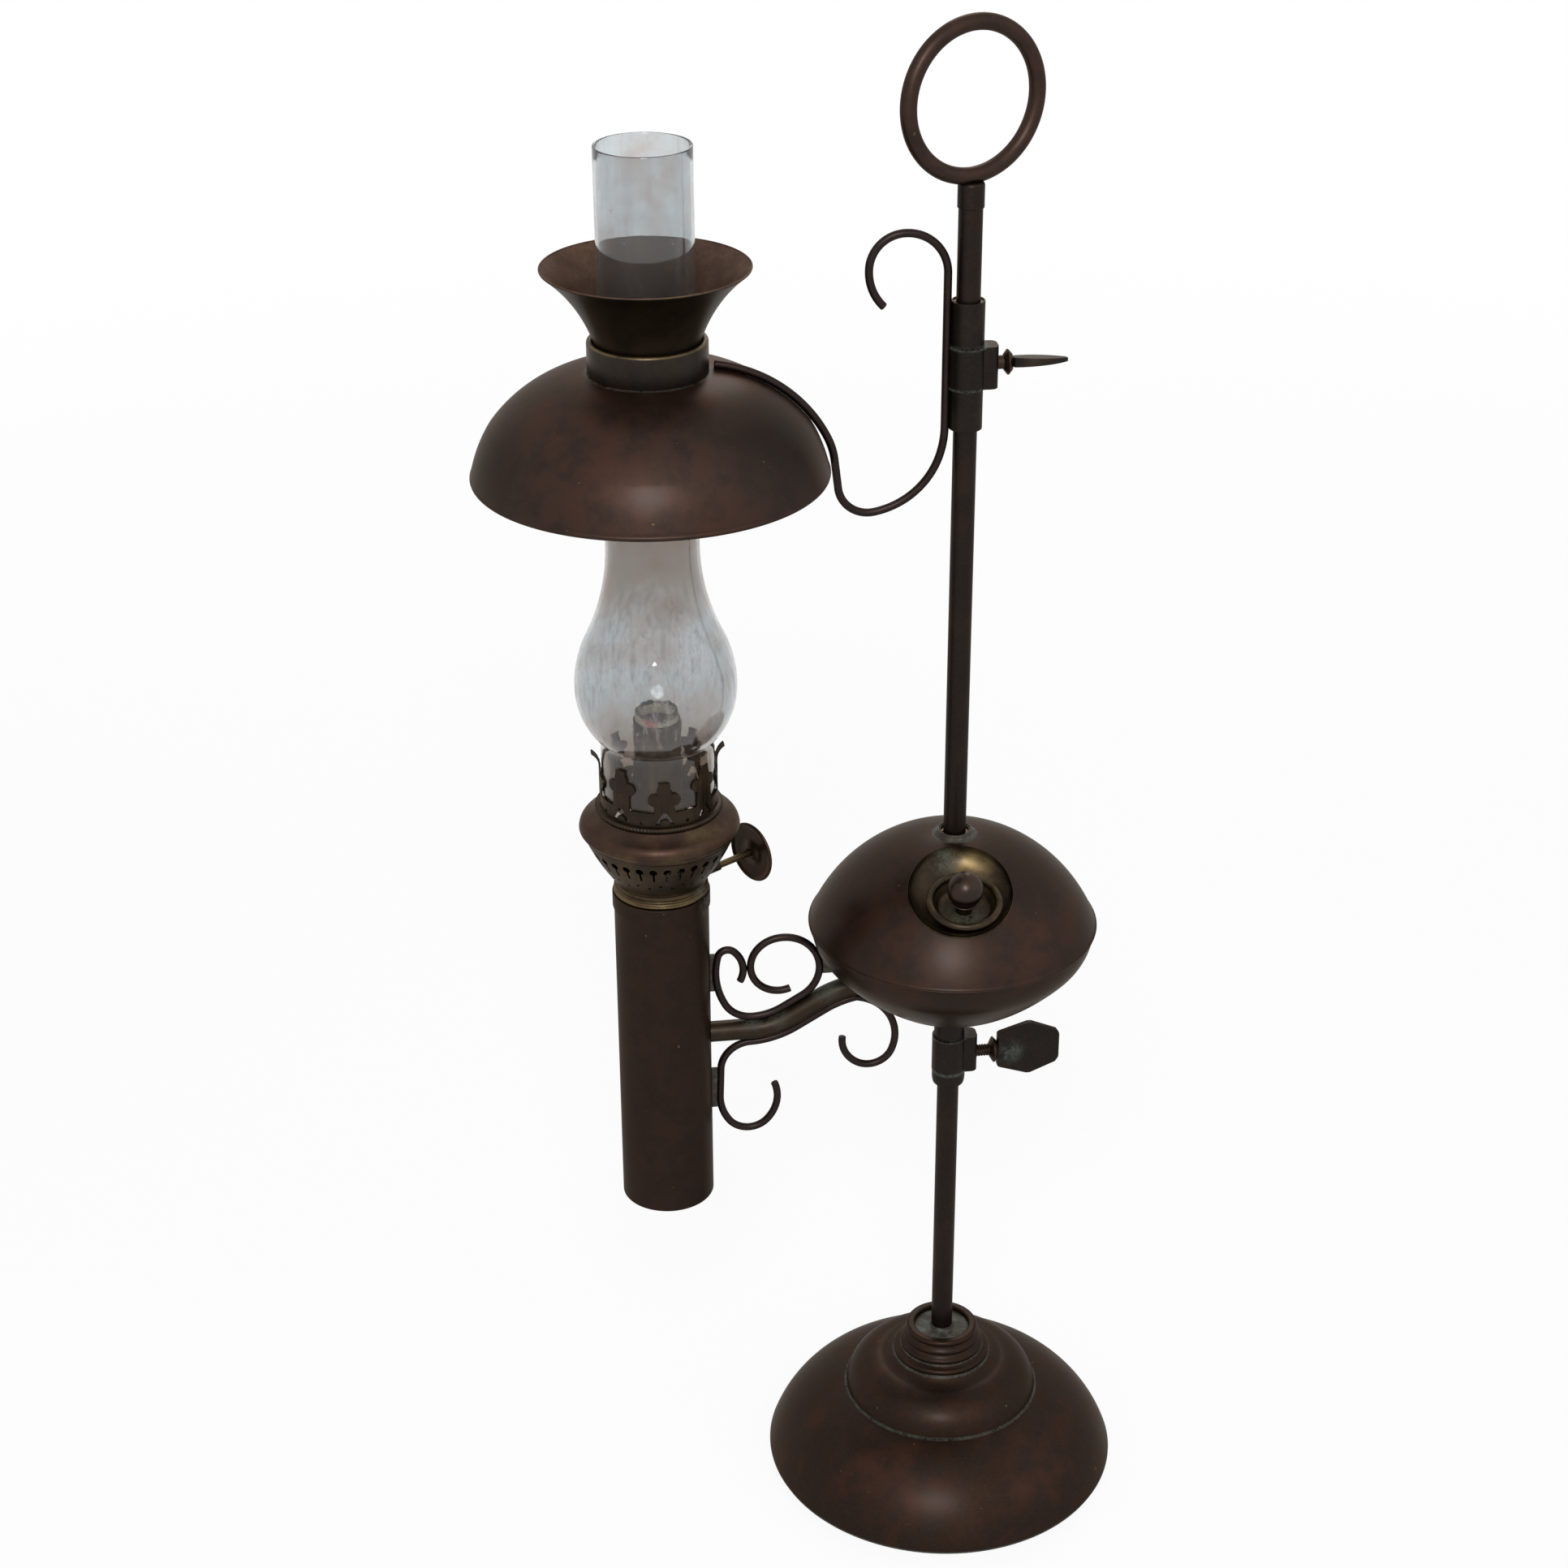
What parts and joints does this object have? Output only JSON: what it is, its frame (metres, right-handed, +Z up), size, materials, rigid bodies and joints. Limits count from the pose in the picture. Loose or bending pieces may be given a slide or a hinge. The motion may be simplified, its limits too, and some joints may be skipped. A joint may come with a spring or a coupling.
{
  "type": "kerosene student lamp",
  "caption": "Adjustable oil table lamp: copper fuel font with a side burner, clear chimney and shade on scroll arms that slide, turn and clamp on a weighted stem with a carrying ring.",
  "frame": {"origin": "on the stem's axis, at the underside of the base felt, where the lamp rests on the table", "axes": "+Z up along the stem; the burner, chimney and shade hang on the -X side; the thumbscrews point to +X; the filler leans towards -Y, which is the front"},
  "size_m": [0.304, 0.176, 0.738],
  "materials": {
    "brown_copper": "patinated copper, satin",
    "dark_copper": "dark patinated copper, satin",
    "aged_brass": "aged brass, satin",
    "solder": "dull tin solder with verdigris",
    "iron": "as cast",
    "steel": "plain",
    "glass": "clear blown glass, faintly grey",
    "cotton_wick": "woven cotton",
    "felt": "felt"
  },
  "bodies": {
    "stand": {"base_felt": "felt", "base_ballast": "iron", "base_shell": "brown_copper", "base_cap": "brown_copper", "neck_bush": "solder", "stem_rod": "dark_copper", "stem_washer": "steel", "stem_nut": "steel", "ring_ferrule": "dark_copper", "finial_ring": "brown_copper"},
    "font_bush": {"font_bush": "aged_brass"},
    "font": {"font_lower_shell": "dark_copper", "font_upper_shell": "brown_copper", "font_center_tube": "dark_copper", "font_top_ferrule": "solder", "font_clamp_block": "dark_copper", "font_end_ring": "dark_copper", "filler_cup": "aged_brass", "filler_neck": "aged_brass", "fuel_arm_tube": "dark_copper", "upper_scroll": "dark_copper", "lower_scroll": "dark_copper", "upper_scroll_tab": "solder", "lower_scroll_tab": "solder", "font_scroll_tab": "solder", "burner_tube": "dark_copper", "burner_tube_floor": "dark_copper", "tube_collar": "aged_brass", "burner_deck": "aged_brass", "burner_basket": "aged_brass", "gallery_flange": "brown_copper", "gallery_ring": "aged_brass", "chimney_crown": "aged_brass", "outer_wick_tube": "dark_copper", "inner_air_tube": "dark_copper", "shaft_bearing": "aged_brass", "shaft_hanger": "aged_brass"},
    "font_thumbscrew": {"font_screw": "dark_copper", "font_screw_wing": "dark_copper"},
    "wick_knob": {"wick_shaft": "aged_brass", "wick_knob_disc": "aged_brass", "spur_wheels": "steel"},
    "wick": {"wick": "cotton_wick"},
    "chimney": {"chimney_glass": "glass"},
    "filler_cap": {"filler_cap_plug": "aged_brass", "filler_cap_dish": "aged_brass", "filler_cap_knob": "brown_copper"},
    "shade_bush": {"shade_bush": "aged_brass"},
    "shade": {"shade_sleeve": "dark_copper", "shade_clamp_block": "dark_copper", "shade_arm": "dark_copper", "shade_dome": "brown_copper", "shade_neck_ring": "aged_brass", "shade_flare": "dark_copper"},
    "shade_thumbscrew": {"shade_screw": "dark_copper", "shade_screw_wing": "dark_copper"}
  },
  "joints": [
    {"name": "font_slide", "type": "slide", "parent": "stand", "child": "font_bush", "axis": [0, 0, 1], "range_m": [-0.14, 0.01]},
    {"name": "font_swivel", "type": "hinge", "parent": "font_bush", "child": "font", "pos_m": [0, 0, 0.29], "axis": [0, 0, 1], "continuous": true},
    {"name": "font_thumbscrew_turn", "type": "hinge", "parent": "font", "child": "font_thumbscrew", "pos_m": [0.02, 0, 0.238], "axis": [1, 0, 0], "range_deg": [0, 720]},
    {"name": "wick_knob_turn", "type": "hinge", "parent": "font", "child": "wick_knob", "pos_m": [-0.1307, -0.01124, 0.3495], "axis": [0.8387, 0.5446, 0], "range_deg": [-190, 95]},
    {"name": "wick_raise", "type": "slide", "parent": "font", "child": "wick", "axis": [0, 0, 1], "range_m": [-0.012, 0.006]},
    {"name": "chimney_lift", "type": "slide", "parent": "font", "child": "chimney", "axis": [0, 0, 1], "range_m": [0, 0.025]},
    {"name": "filler_cap_lift", "type": "slide", "parent": "font", "child": "filler_cap", "axis": [-0.0323, -0.3073, 0.9511], "range_m": [0, 0.025]},
    {"name": "shade_slide", "type": "slide", "parent": "stand", "child": "shade_bush", "axis": [0, 0, 1], "range_m": [-0.05, 0.014]},
    {"name": "shade_swivel", "type": "hinge", "parent": "shade_bush", "child": "shade", "pos_m": [0, 0, 0.586], "axis": [0, 0, 1], "continuous": true},
    {"name": "shade_thumbscrew_turn", "type": "hinge", "parent": "shade", "child": "shade_thumbscrew", "pos_m": [0.016, 0, 0.588], "axis": [1, 0, 0], "range_deg": [0, 720]}
  ],
  "couplings": [
    {"joint": "wick_raise", "follows": "wick_knob_turn", "m_per_rad": 0.0036},
    {"joint": "shade_swivel", "follows": "font_swivel", "ratio": 1}
  ]
}
